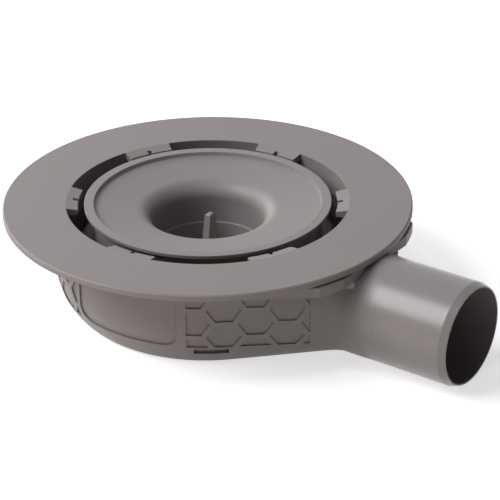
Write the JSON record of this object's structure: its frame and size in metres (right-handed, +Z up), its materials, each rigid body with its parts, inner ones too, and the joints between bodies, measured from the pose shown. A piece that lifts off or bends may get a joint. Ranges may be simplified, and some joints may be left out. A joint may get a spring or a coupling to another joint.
{
  "type": "floor drain",
  "caption": "Low floor drain with a wide sealing flange, a bayonet socket for the upper section, a lift-out trap insert, a honeycomb-ribbed basin and a horizontal spigot outlet.",
  "frame": {"origin": "on the drain's axis, in the plane of the basin's flat underside", "axes": "+Z up along the drain's axis, +X along the outlet spigot, towards its mouth"},
  "size_m": [0.25, 0.2, 0.054],
  "materials": {
    "body_abs": "grey ABS, moulded with a fine satin texture",
    "insert_abs": "grey ABS, moulded satin",
    "seal_rubber": "black EPDM, moulded"
  },
  "bodies": {
    "root": {"flange_socket": "body_abs", "basin": "body_abs", "trap_funnel": "insert_abs", "trap_cup": "insert_abs", "trap_seal": "seal_rubber", "socket_seal": "seal_rubber"}
  },
  "joints": []
}
